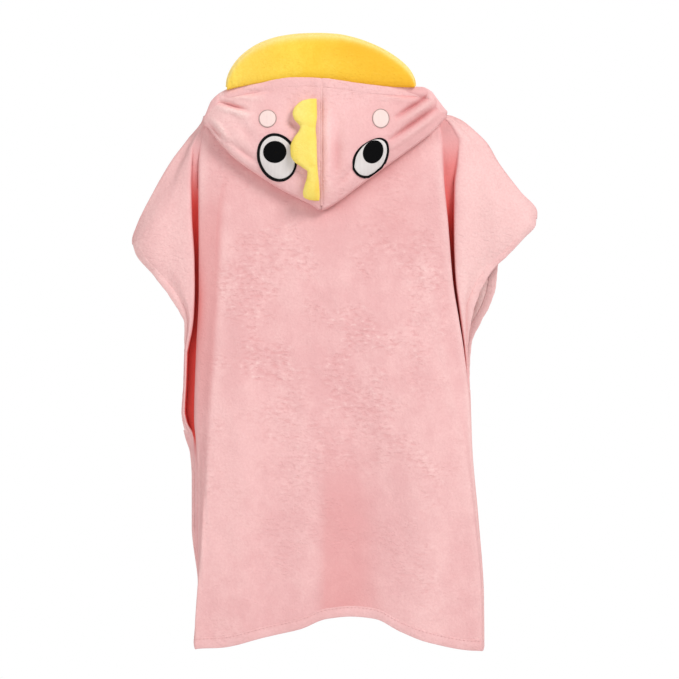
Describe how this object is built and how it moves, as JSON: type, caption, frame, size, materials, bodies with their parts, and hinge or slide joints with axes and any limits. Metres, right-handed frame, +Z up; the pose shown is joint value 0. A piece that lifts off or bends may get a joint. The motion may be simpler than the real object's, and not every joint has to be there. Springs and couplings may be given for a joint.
{
  "type": "hooded baby towel",
  "caption": "Child's fleece poncho towel hanging by its shoulders: front and back panels, open sleeves, and a hood down the back with a padded bill, sewn eyes and a soft crest.",
  "frame": {"origin": "at the neck on the shoulder line, midway between the front and back panels, where a hanger carries the towel", "axes": "+Z up, +Y towards the wearer's front, so the back with the hood faces -Y, +X towards the wearer's right"},
  "size_m": [0.4736, 0.0995, 0.7076],
  "materials": {
    "fleece": "soft coral fleece, short brushed pile, matt with a faint sheen",
    "hood_fleece": "soft coral fleece, short brushed pile",
    "hem_fleece": "coral fleece folded and sewn down",
    "seam_thread": "pink sewing thread over folded fleece",
    "bill_fleece": "warm yellow velour, padded",
    "crest_fleece": "light yellow velour, padded",
    "eye_black": "black satin-stitch embroidery",
    "eye_white": "white velour patch",
    "cheek_pale": "pale peach velour patch",
    "cheek_thread": "grey-brown satin-stitch embroidery",
    "wadding": "white polyester wadding"
  },
  "bodies": {
    "garment": {"back_panel": "fleece", "front_panel": "fleece", "back_hem": "hem_fleece", "front_hem": "hem_fleece", "shoulder_seam_left": "seam_thread", "shoulder_seam_right": "seam_thread", "side_seam_left": "seam_thread", "side_seam_right": "seam_thread", "sleeve_hem_left": "hem_fleece", "sleeve_hem_right": "hem_fleece", "neck_binding": "hem_fleece"},
    "hood": {"hood_left": "hood_fleece", "hood_right": "hood_fleece", "hood_centre_seam": "seam_thread", "hood_face_hem": "hem_fleece", "eye_white_left": "eye_white", "eye_outline_left": "eye_black", "pupil_left": "eye_black", "eye_white_right": "eye_white", "eye_outline_right": "eye_black", "pupil_right": "eye_black", "cheek_patch_left": "cheek_pale", "cheek_outline_left": "cheek_thread", "cheek_patch_right": "cheek_pale", "cheek_outline_right": "cheek_thread"},
    "bill": {"bill_back_cover": "bill_fleece", "bill_front_cover": "bill_fleece", "bill_padding": "wadding"},
    "crest": {"crest_outer_cover": "crest_fleece", "crest_inner_cover": "crest_fleece", "crest_padding": "wadding"}
  },
  "joints": [
    {"name": "hood_lift", "type": "hinge", "parent": "garment", "child": "hood", "pos_m": [0, -0.0156, -0.004], "axis": [-1, 0, 0], "range_deg": [0, 110]},
    {"name": "bill_flex", "type": "hinge", "parent": "hood", "child": "bill", "pos_m": [-0.004, -0.036, 0.012], "axis": [1, 0, 0], "range_deg": [-20, 30], "stiffness_Nm_per_rad": 0.02},
    {"name": "crest_flop", "type": "hinge", "parent": "hood", "child": "crest", "pos_m": [-0.0085, -0.053, -0.06], "axis": [0, 0, 1], "range_deg": [0, 160]}
  ]
}
